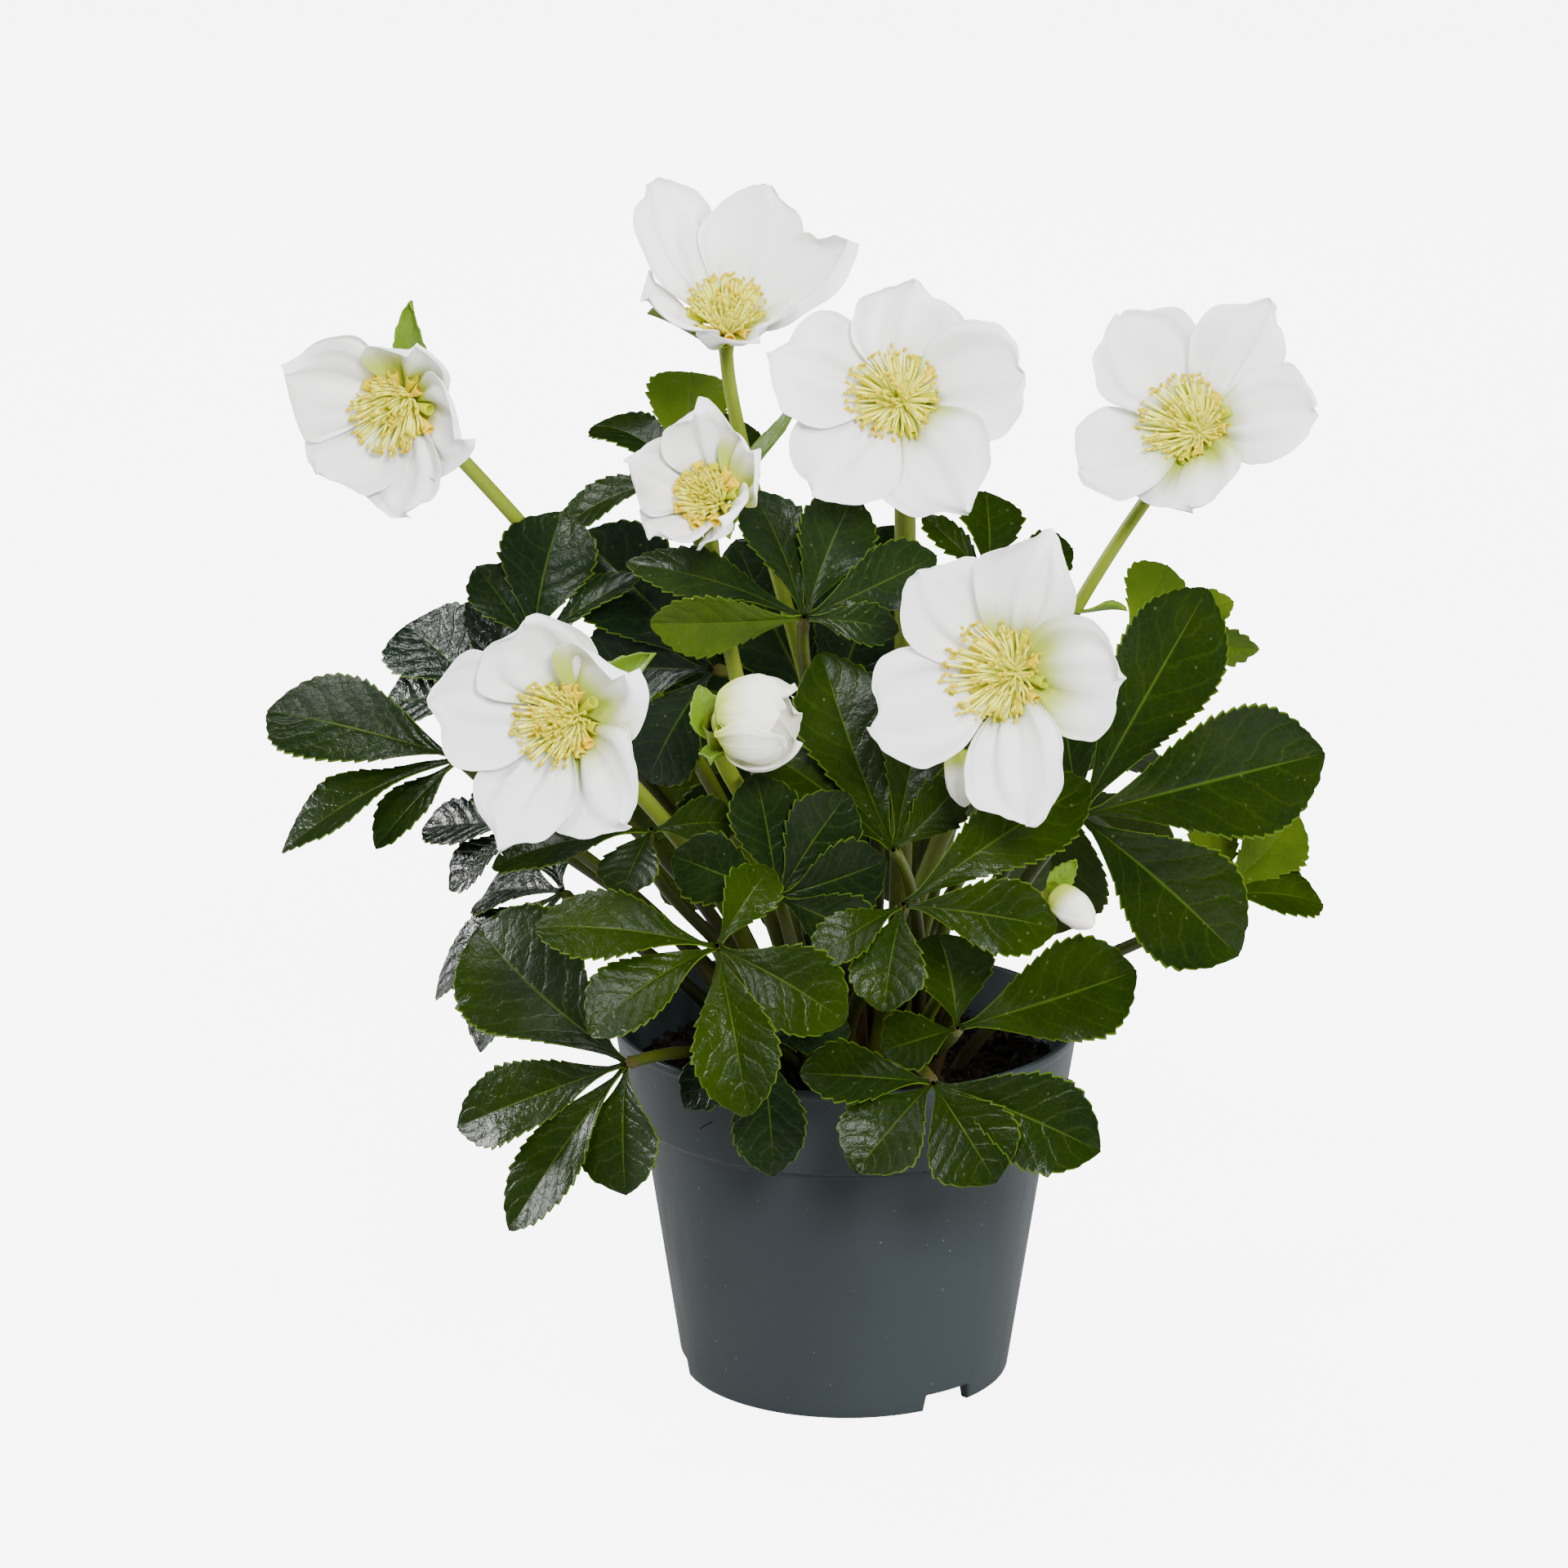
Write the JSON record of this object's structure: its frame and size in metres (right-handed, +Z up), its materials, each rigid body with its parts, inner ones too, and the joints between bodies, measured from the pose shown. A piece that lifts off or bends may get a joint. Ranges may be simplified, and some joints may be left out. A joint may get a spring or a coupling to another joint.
{
  "type": "potted hellebore plant",
  "caption": "Christmas rose with white open flowers, buds and leathery divided leaves, growing in peat in a round tapered plastic nursery pot.",
  "frame": {"origin": "middle of the pot's underside, on the surface that it stands on", "axes": "+Z up along the pot's axis, -Y towards the front that most of the flowers face, +X to the right of it"},
  "size_m": [0.2959, 0.2149, 0.3397],
  "materials": {
    "pot": "satin, slate grey",
    "soil": "moist dark peat",
    "leaf": "glossy dark green, paler veins and toothed edge",
    "stem": "smooth light green with a purple tinge",
    "sepals": "soft white, green-yellow towards the middle",
    "centre": "yellow anthers on cream filaments, green-yellow nectaries"
  },
  "bodies": {
    "root": {"pot": "pot", "leaf_far_left": "leaf", "leaf_left_glossy": "leaf", "leaf_left_upright": "leaf", "leaf_top_back": "leaf", "leaf_left_inner": "leaf", "leaf_top_middle": "leaf", "leaf_top_right": "leaf", "leaf_right_large": "leaf", "leaf_right_back": "leaf", "leaf_right_low": "leaf", "leaf_centre_tall": "leaf", "leaf_centre_front": "leaf", "leaf_front_right": "leaf", "leaf_front_low": "leaf", "leaf_front_left": "leaf", "leaf_low_left": "leaf", "leaf_front_hanging": "leaf", "leaf_left_middle": "leaf", "leaf_left_side": "leaf", "leaf_left_low_back": "leaf", "leaf_back_left": "leaf", "leaf_back_middle": "leaf", "leaf_back_right": "leaf", "leaf_back_low": "leaf", "leaf_inner": "leaf", "leaf_inner_front": "leaf", "flower_left_sepals": "sepals", "flower_left_centre": "centre", "flower_left_stem": "stem", "flower_top_sepals": "sepals", "flower_top_centre": "centre", "flower_top_stem": "stem", "flower_upper_middle_sepals": "sepals", "flower_upper_middle_centre": "centre", "flower_upper_middle_stem": "stem", "flower_right_sepals": "sepals", "flower_right_centre": "centre", "flower_right_stem": "stem", "flower_small_sepals": "sepals", "flower_small_centre": "centre", "flower_small_stem": "stem", "flower_front_right_sepals": "sepals", "flower_front_right_centre": "centre", "flower_front_right_stem": "stem", "flower_front_left_sepals": "sepals", "flower_front_left_centre": "centre", "flower_front_left_stem": "stem", "bud_opening_sepals": "sepals", "bud_opening_stem": "stem", "bud_front_sepals": "sepals", "bud_front_stem": "stem", "bud_right_sepals": "sepals", "bud_right_stem": "stem", "soil": "soil"}
  },
  "joints": []
}
